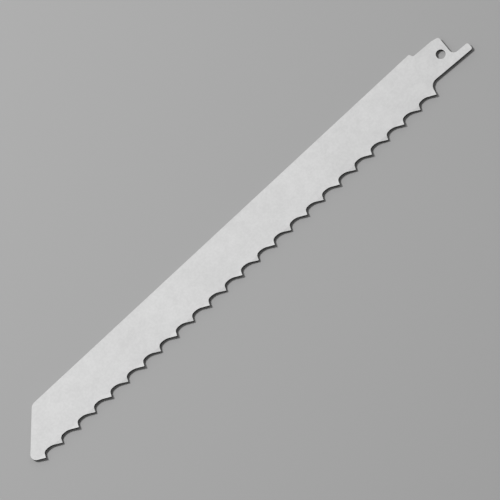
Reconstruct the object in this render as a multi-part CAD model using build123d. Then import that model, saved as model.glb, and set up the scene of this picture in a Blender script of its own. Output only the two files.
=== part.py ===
from build123d import *
import os
from math import atan2, cos, degrees, radians, sin, sqrt, tan

# A reciprocating saw blade with coarse scalloped teeth, punched from one flat steel strip.
# All lengths are in millimetres and all angles in degrees.
# The blade lies flat. Its pin hole is over the origin and its lower face is at height zero.
# +X runs along the back edge towards the tang, +Y towards the back edge, and +Z up.

# Strip
thickness = 1.5
body_width = 19.0              # from the back edge to the tooth tips
back_height = 8.45             # from the pin hole's centre to the back edge
edge_break = 0.1               # the small chamfer along the untoothed edges

# Tooth line
pitch = 8.467                  # three teeth to the inch
tooth_count = 25
last_tip_to_pin = 12.2         # along the blade, from the last tooth's tip to the pin hole
gullet_depth = 2.36
gullet_corner_radius = 1.8     # the tight bend behind each tooth's steep face
gullet_roof_radius = 6.0       # the long bend that runs out into the next tooth's flank
face_angle = 66.0              # each tooth's steep face, from the tooth line
flank_angle = 30.0             # each tooth's long flank, from the tooth line

# Set: the teeth are bent out of the strip by turns, up and down
set_offset = 0.28              # sideways lean at the tip
set_root = 0.6                 # from the gullet's roof down to the line about which a tooth is bent
set_bend_radius = 2.5
tooth_share = 0.6              # the part of a pitch, ahead of its tip, that leans with a tooth
trim = 0.5                     # spare steel beyond the tips before the outline is punched

# Nose
nose_angle = 46.5              # the straight nose cut, from the back edge
nose_overhang = 5.4            # along the blade, from the first tip to the nose's point
nose_point_radius = 2.1
nose_back_radius = 3.2

# Step down from the back edge to the shank
step_to_pin = 8.1              # along the blade, from the foot of the step to the pin hole
step_run = 0.7                 # length of the sloping step
step_radius = 0.8

# Shank, which leans towards the tooth side
shank_width = 12.7             # the half-inch shank that saw clamps take
shank_angle = 3.0
shoulder_to_pin = 3.85         # along the shank, from the pin hole to the shoulder's outer corner
shoulder_lean = 2.5            # how far the shoulder leans back from square
shoulder_radius = 1.2
lead_in_length = 3.2           # the shallow lead-in before the shoulder
lead_in_drop = 0.55
lead_in_radius = 6.0
heel_angle = 72.0              # the last tooth's face, from the tooth line
heel_radius = 3.3              # the bend from that face into the shank's lower edge
pin_hole_diameter = 3.8

# Tang
tang_width = 3.1
tang_to_pin = 10.8             # along the shank, from the pin hole to the tang's end
tang_foot_radius = 2.1         # the inner bend where the tang meets the shoulder
tang_end_radius = 0.85

# Places that follow from the sizes above
tip_y = back_height - body_width
last_tip_x = -last_tip_to_pin
first_tip_x = last_tip_x - (tooth_count - 1) * pitch
bend_y = tip_y + gullet_depth - set_root
set_angle = degrees(atan2(set_offset, bend_y - tip_y))
flat_end_y = bend_y + set_bend_radius * tan(radians(set_angle) / 2)


def on_shank(along, across):
    """A point given along and across the leaning shank, measured from the pin hole."""
    lean = radians(shank_angle)
    return (along * cos(lean) + across * sin(lean), across * cos(lean) - along * sin(lean))


def shank_edge_y(x, across):
    """The height at x of a line that runs along the shank, at a distance across from the pin hole."""
    lean = radians(shank_angle)
    return across / cos(lean) - x * tan(lean)


def heel_corner():
    """Where the last tooth's face would meet the shank's lower edge if the bend were sharp."""
    rise = tan(radians(heel_angle))
    lean = tan(radians(shank_angle))
    x = (last_tip_x * rise - tip_y + shank_edge_y(0, -shank_width / 2)) / (rise + lean)
    return (x, shank_edge_y(x, -shank_width / 2))


def heel_bend():
    """The heel's radius, or the largest that the last tooth's face has room for above half its height."""
    face_length = (heel_corner()[1] - tip_y - gullet_depth / 2) / sin(radians(heel_angle))
    return min(heel_radius, face_length / tan(radians(heel_angle + shank_angle) / 2))


def perimeter():
    """The untoothed part of the outline, from the last tip round the shank, back and nose to the first."""
    nose_x = first_tip_x - nose_overhang
    nose_y = tip_y + nose_overhang * tan(radians(flank_angle))
    nose_top_x = nose_x + (back_height - nose_y) / tan(radians(nose_angle))
    half = shank_width / 2
    tang_top = tang_width - half
    shoulder_top = half - lead_in_drop
    shoulder_foot = shoulder_to_pin - (shoulder_top - tang_top) * tan(radians(shoulder_lean))
    step_foot_x = -step_to_pin
    corners = [
        (heel_corner(), heel_bend()),
        (on_shank(tang_to_pin, -half), tang_end_radius),
        (on_shank(tang_to_pin, tang_top), tang_end_radius),
        (on_shank(shoulder_foot, tang_top), tang_foot_radius),
        (on_shank(shoulder_to_pin, shoulder_top), shoulder_radius),
        (on_shank(shoulder_to_pin - lead_in_length, half), lead_in_radius),
        ((step_foot_x, shank_edge_y(step_foot_x, half)), step_radius),
        ((step_foot_x - step_run, back_height), step_radius),
        ((nose_top_x, back_height), nose_back_radius),
        ((nose_x, nose_y), nose_point_radius),
    ]
    points = [point for point, radius in corners]
    radii = [radius for point, radius in corners]
    return FilletPolyline((last_tip_x, tip_y), *points, (first_tip_x, tip_y), radius=radii)


def gullet():
    """One gullet's line between two tips, with the first tip at the origin and the next a pitch away.

    It goes up the steep face, round the tight corner, over the long roof and down the flank.
    Each stretch is tangent to the next.
    """
    face = radians(face_angle)
    flank = radians(flank_angle)
    up_face = Vector(cos(face), sin(face))
    off_face = Vector(sin(face), -cos(face))
    roof_centre = Vector(
        pitch - (gullet_roof_radius + (gullet_depth - gullet_roof_radius) * cos(flank)) / sin(flank),
        gullet_depth - gullet_roof_radius,
    )
    # The corner's centre is one corner radius off the face, and its bend touches the roof from inside.
    start = off_face * gullet_corner_radius - roof_centre
    reach = start.dot(up_face)
    gap = gullet_roof_radius - gullet_corner_radius
    face_length = sqrt(reach**2 - start.length**2 + gap**2) - reach
    corner_centre = up_face * face_length + off_face * gullet_corner_radius
    corner_start = up_face * face_length
    corner_end = roof_centre + (corner_centre - roof_centre).normalized() * gullet_roof_radius
    roof_end = roof_centre + Vector(sin(flank), cos(flank)) * gullet_roof_radius
    corner = TangentArc(corner_start, corner_end, tangent=up_face)
    roof = TangentArc(corner_end, roof_end, tangent=corner % 1)
    return [Line((0, 0), corner_start), corner, roof, Line(roof_end, (pitch, 0))]


def punched_outline():
    """The whole outline with its teeth, and with the pin hole in it."""
    teeth = [
        Pos(first_tip_x + index * pitch, tip_y) * stretch
        for index in range(tooth_count - 1)
        for stretch in gullet()
    ]
    return make_face([perimeter(), *teeth]) - Circle(pin_hole_diameter / 2)


def flat_strip():
    """The flat steel above the set bend, with its outer edges broken."""
    tooth_line = Line((first_tip_x, tip_y), (last_tip_x, tip_y))
    blank = extrude(make_face([perimeter(), tooth_line]), thickness)
    outer_edges = [
        edge
        for face in blank.faces().filter_by(Axis.Z)
        for edge in face.edges()
        if edge.center().Y > tip_y + edge_break
    ]
    blank = chamfer(outer_edges, edge_break)
    return split(blank, Plane.XZ.offset(-flat_end_y), keep=Keep.BOTTOM)


def leaning_strip(index):
    """The strip's lower edge over one tooth's pitch, bent up or down about the bend line."""
    side = 1 if index % 2 == 0 else -1
    low_y = tip_y - trim
    low_z = side * (bend_y - low_y) * tan(radians(set_angle))
    turn = -side * set_angle
    lower_bend = JernArc((flat_end_y, 0), (-1, 0), set_bend_radius, turn)
    upper_bend = JernArc((flat_end_y, thickness), (-1, 0), set_bend_radius, turn)
    tooth_end = Polyline(lower_bend @ 1, (low_y, low_z), (low_y, low_z + thickness), upper_bend @ 1)
    section = make_face([lower_bend, tooth_end, upper_bend, Line(upper_bend @ 0, lower_bend @ 0)])
    start = first_tip_x + (index - tooth_share) * pitch
    return Pos(start, 0, 0) * extrude(Plane.YZ * section, pitch)


def saw_blade():
    """The flat strip and its leaning lower edge, cut to the toothed outline."""
    strip = flat_strip() + [leaning_strip(index) for index in range(tooth_count)]
    deep = thickness + 2 * set_offset
    punch = extrude(punched_outline(), deep, both=True)
    return strip & punch


os.makedirs("parts", exist_ok=True)
export_step(saw_blade(), "parts/saw_blade.step")
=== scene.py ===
from math import cos, radians, sin

import bpy
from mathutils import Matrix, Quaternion, Vector


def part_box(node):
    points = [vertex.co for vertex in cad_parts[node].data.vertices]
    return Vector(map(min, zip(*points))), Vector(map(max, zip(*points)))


# A flat steel saw blade lying on a pale floor.
# All lengths are in metres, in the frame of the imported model.
# The blade's pin hole is over the origin, +X runs to the tang and +Y to the back edge.
# Directions are given by azimuth, in degrees from +X, and by elevation.

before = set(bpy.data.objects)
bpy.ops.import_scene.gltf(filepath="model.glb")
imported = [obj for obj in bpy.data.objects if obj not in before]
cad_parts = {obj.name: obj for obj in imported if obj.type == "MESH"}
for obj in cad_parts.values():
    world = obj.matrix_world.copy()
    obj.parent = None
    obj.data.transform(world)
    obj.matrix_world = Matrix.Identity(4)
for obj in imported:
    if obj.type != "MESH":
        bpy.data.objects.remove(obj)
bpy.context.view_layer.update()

MM = 0.001
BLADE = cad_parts["saw_blade"]
LOW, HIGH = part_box("saw_blade")
MIDDLE = (LOW + HIGH) / 2

# Camera, on the tooth side
AIM = Vector((-0.10506, -0.00536, 0.0015))    # the point of the upper face at the picture's centre
CAMERA_AZIMUTH = -107.95
CAMERA_ELEVATION = 76.0
CAMERA_DISTANCE = 1.2885
CAMERA_ROLL = -25.46          # turns the blade to its slant in the picture
SENSOR_WIDTH = 36.0           # this and the lens are in millimetres
LENS = 243.6

# Floor
FLOOR_SIZE = 6.0
FLOOR_GREY = 0.37
FLOOR_ROUGHNESS = 0.9
FLOOR_SPECULAR = 0.2

# Sky: dim all round, with one broad glow high over the blade's back edge
SKY_DIM = 0.125
SKY_BRIGHT = 0.49
GLOW_AZIMUTH = 90
GLOW_ELEVATION = 60
GLOW_INNER = 0.85             # cosine of the angle within which the glow is even
GLOW_OUTER = 0.2              # cosine of the angle past which the sky is dim

# Key light: a softbox on the back edge's side, a little towards the nose
KEY_AZIMUTH = 112
KEY_ELEVATION = 62
KEY_DISTANCE = 1.1
KEY_SIZE = 0.17
KEY_POWER = 9.4               # watts

# Steel. Each spread is how far a pattern shifts its value either way.
METALLIC = 0.5                # the blasted skin shines only in part as bare metal does
FACE_TONE = 0.67
CLOUD_SIZE = 30 * MM
CLOUD_SPREAD = 0.032
CLOUD_DETAIL = 3.0
MOTTLE_SIZE = 3.5 * MM
MOTTLE_SPREAD = 0.012
SPECK_SIZE = 0.9 * MM
SPECK_SPREAD = 0.016
ROUGHNESS = 0.8
ROUGHNESS_SPREAD = 0.03
GRAIN_SIZE = 0.16 * MM
GRAIN_DEPTH = 0.01 * MM
NOISE_DETAIL = 2.0
NOISE_LOW = 0.3               # raw noise mostly lies between these two values
NOISE_HIGH = 0.7

# Punched edges: steel darker than the faces, with painted shade that turns the edges facing the
# tooth side, away from the key light, nearly black
BACK_TONE = 0.3
# The painted shade's tone, for edges that face the tooth side.
PAINTED_SHADE_EDGE_TONE = 0.05
PAINTED_SHADE_FACING = -0.5           # how far towards the back an edge with full painted shade faces
BACK_FACING = 0.8             # and one that has no painted shade
STREAK_SPREAD = 0.03
STREAK_STRETCH = 0.15         # how the grain is drawn out along the punch's stroke
EDGE_TILT = 0.35              # a surface is an edge where its normal's height is less than this
FACE_TILT = 0.6               # and a face where it is more than this


def towards(azimuth, elevation):
    """A unit vector in a direction given in degrees."""
    turn = radians(azimuth)
    rise = radians(elevation)
    return Vector((cos(rise) * cos(turn), cos(rise) * sin(turn), sin(rise)))


def new_material(name):
    """A new material, its node tree and its Principled shader."""
    material = bpy.data.materials.new(name)
    material.use_nodes = True
    tree = material.node_tree
    return material, tree, tree.nodes["Principled BSDF"]


def plug(tree, socket, value):
    """Feeds a socket from another node's output, or sets it to a number."""
    if isinstance(value, bpy.types.NodeSocket):
        tree.links.new(value, socket)
    else:
        socket.default_value = value


def math_node(tree, operation, *operands):
    """The result of one sum."""
    node = tree.nodes.new("ShaderNodeMath")
    node.operation = operation
    for socket, operand in zip(node.inputs, operands):
        plug(tree, socket, operand)
    return node.outputs["Value"]


def ramp(tree, value, low, high, out_low, out_high):
    """Takes value smoothly from the range low to high over to the range out_low to out_high."""
    node = tree.nodes.new("ShaderNodeMapRange")
    node.interpolation_type = "SMOOTHSTEP"
    plug(tree, node.inputs["Value"], value)
    plug(tree, node.inputs["From Min"], low)
    plug(tree, node.inputs["From Max"], high)
    plug(tree, node.inputs["To Min"], out_low)
    plug(tree, node.inputs["To Max"], out_high)
    return node.outputs["Result"]


def pattern(tree, place, size, detail=NOISE_DETAIL, stretch=1.0):
    """Noise from -1 to 1 in patches of about size, drawn out along Z where stretch is under 1."""
    mapping = tree.nodes.new("ShaderNodeMapping")
    mapping.inputs["Scale"].default_value = (1, 1, stretch)
    tree.links.new(place, mapping.inputs["Vector"])
    noise = tree.nodes.new("ShaderNodeTexNoise")
    noise.inputs["Scale"].default_value = 1 / size
    noise.inputs["Detail"].default_value = detail
    tree.links.new(mapping.outputs["Vector"], noise.inputs["Vector"])
    return ramp(tree, noise.outputs["Fac"], NOISE_LOW, NOISE_HIGH, -1.0, 1.0)


def layered(tree, start, *layers):
    """start, shifted by each layer's pattern times its spread."""
    total = start
    for layer, spread in layers:
        total = math_node(tree, "MULTIPLY_ADD", layer, spread, total)
    return total


def blade_steel():
    """Blasted satin steel on the flat faces, with streaked punched edges that carry painted shade
    on the tooth side.
    """
    material, tree, shader = new_material("blade_steel")
    coordinates = tree.nodes.new("ShaderNodeTexCoord")
    place = coordinates.outputs["Object"]
    facing = tree.nodes.new("ShaderNodeSeparateXYZ")
    tree.links.new(coordinates.outputs["Normal"], facing.inputs["Vector"])

    clouds = pattern(tree, place, CLOUD_SIZE, detail=CLOUD_DETAIL)
    mottle = pattern(tree, place, MOTTLE_SIZE)
    specks = pattern(tree, place, SPECK_SIZE)
    grain = pattern(tree, place, GRAIN_SIZE)
    streaks = pattern(tree, place, GRAIN_SIZE, stretch=STREAK_STRETCH)

    face_tone = layered(
        tree, FACE_TONE,
        (clouds, CLOUD_SPREAD), (mottle, MOTTLE_SPREAD), (specks, SPECK_SPREAD),
    )
    # The edges run from painted shade, nearly black, where they face the tooth side to their own
    # steel tone at the back.
    edge_tone_and_painted_shade = ramp(tree, facing.outputs["Y"], PAINTED_SHADE_FACING, BACK_FACING, PAINTED_SHADE_EDGE_TONE, BACK_TONE)
    edge_tone_and_painted_shade = layered(tree, edge_tone_and_painted_shade, (streaks, STREAK_SPREAD))
    flatness = math_node(tree, "ABSOLUTE", facing.outputs["Z"])
    tone = ramp(tree, flatness, EDGE_TILT, FACE_TILT, edge_tone_and_painted_shade, face_tone)
    colour = tree.nodes.new("ShaderNodeCombineColor")
    for channel in ("Red", "Green", "Blue"):
        tree.links.new(tone, colour.inputs[channel])
    tree.links.new(colour.outputs["Color"], shader.inputs["Base Color"])

    shader.inputs["Metallic"].default_value = METALLIC
    roughness = layered(tree, ROUGHNESS, (clouds, ROUGHNESS_SPREAD))
    tree.links.new(roughness, shader.inputs["Roughness"])

    bump = tree.nodes.new("ShaderNodeBump")
    bump.inputs["Distance"].default_value = GRAIN_DEPTH
    tree.links.new(grain, bump.inputs["Height"])
    tree.links.new(bump.outputs["Normal"], shader.inputs["Normal"])
    return material


def floor_material():
    """Plain matt grey."""
    material, tree, shader = new_material("floor")
    shader.inputs["Base Color"].default_value = (FLOOR_GREY, FLOOR_GREY, FLOOR_GREY, 1)
    shader.inputs["Roughness"].default_value = FLOOR_ROUGHNESS
    shader.inputs["Specular IOR Level"].default_value = FLOOR_SPECULAR
    return material


def dress_blade():
    """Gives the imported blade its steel."""
    steel = blade_steel()
    for slot in BLADE.material_slots:
        slot.material = steel


def add_floor():
    """A plain floor that the lowest tooth tips touch."""
    half = FLOOR_SIZE / 2
    corners = [(-half, -half, 0), (half, -half, 0), (half, half, 0), (-half, half, 0)]
    mesh = bpy.data.meshes.new("floor")
    mesh.from_pydata(corners, [], [(0, 1, 2, 3)])
    floor = bpy.data.objects.new("floor", mesh)
    floor.location = (MIDDLE.x, MIDDLE.y, LOW.z)
    bpy.context.scene.collection.objects.link(floor)
    floor.data.materials.append(floor_material())


def add_sky():
    """A soft studio sky that is brightest around the glow's direction."""
    world = bpy.data.worlds.new("studio")
    bpy.context.scene.world = world
    world.use_nodes = True
    tree = world.node_tree
    coordinates = tree.nodes.new("ShaderNodeTexCoord")
    nearness = tree.nodes.new("ShaderNodeVectorMath")
    nearness.operation = "DOT_PRODUCT"
    nearness.inputs[1].default_value = towards(GLOW_AZIMUTH, GLOW_ELEVATION)
    tree.links.new(coordinates.outputs["Generated"], nearness.inputs[0])
    strength = ramp(tree, nearness.outputs["Value"], GLOW_OUTER, GLOW_INNER, SKY_DIM, SKY_BRIGHT)
    background = tree.nodes["Background"]
    background.inputs["Color"].default_value = (1, 1, 1, 1)
    tree.links.new(strength, background.inputs["Strength"])


def add_key():
    """A square softbox that shines on the middle of the blade."""
    light = bpy.data.lights.new("key", "AREA")
    light.shape = "SQUARE"
    light.size = KEY_SIZE
    light.energy = KEY_POWER
    lamp = bpy.data.objects.new("key", light)
    direction = towards(KEY_AZIMUTH, KEY_ELEVATION)
    lamp.location = MIDDLE + direction * KEY_DISTANCE
    lamp.rotation_mode = "QUATERNION"
    lamp.rotation_quaternion = direction.to_track_quat("Z", "Y")
    bpy.context.scene.collection.objects.link(lamp)


def add_camera():
    """The camera stands where the photograph was taken from."""
    data = bpy.data.cameras.new("camera")
    data.sensor_width = SENSOR_WIDTH
    data.lens = LENS
    camera = bpy.data.objects.new("camera", data)
    direction = towards(CAMERA_AZIMUTH, CAMERA_ELEVATION)
    camera.location = AIM + direction * CAMERA_DISTANCE
    camera.rotation_mode = "QUATERNION"
    level = direction.to_track_quat("Z", "Y")
    camera.rotation_quaternion = level @ Quaternion((0, 0, 1), radians(CAMERA_ROLL))
    bpy.context.scene.collection.objects.link(camera)
    bpy.context.scene.camera = camera


dress_blade()
add_floor()
add_sky()
add_key()
add_camera()
bpy.context.scene.view_settings.view_transform = "Standard"
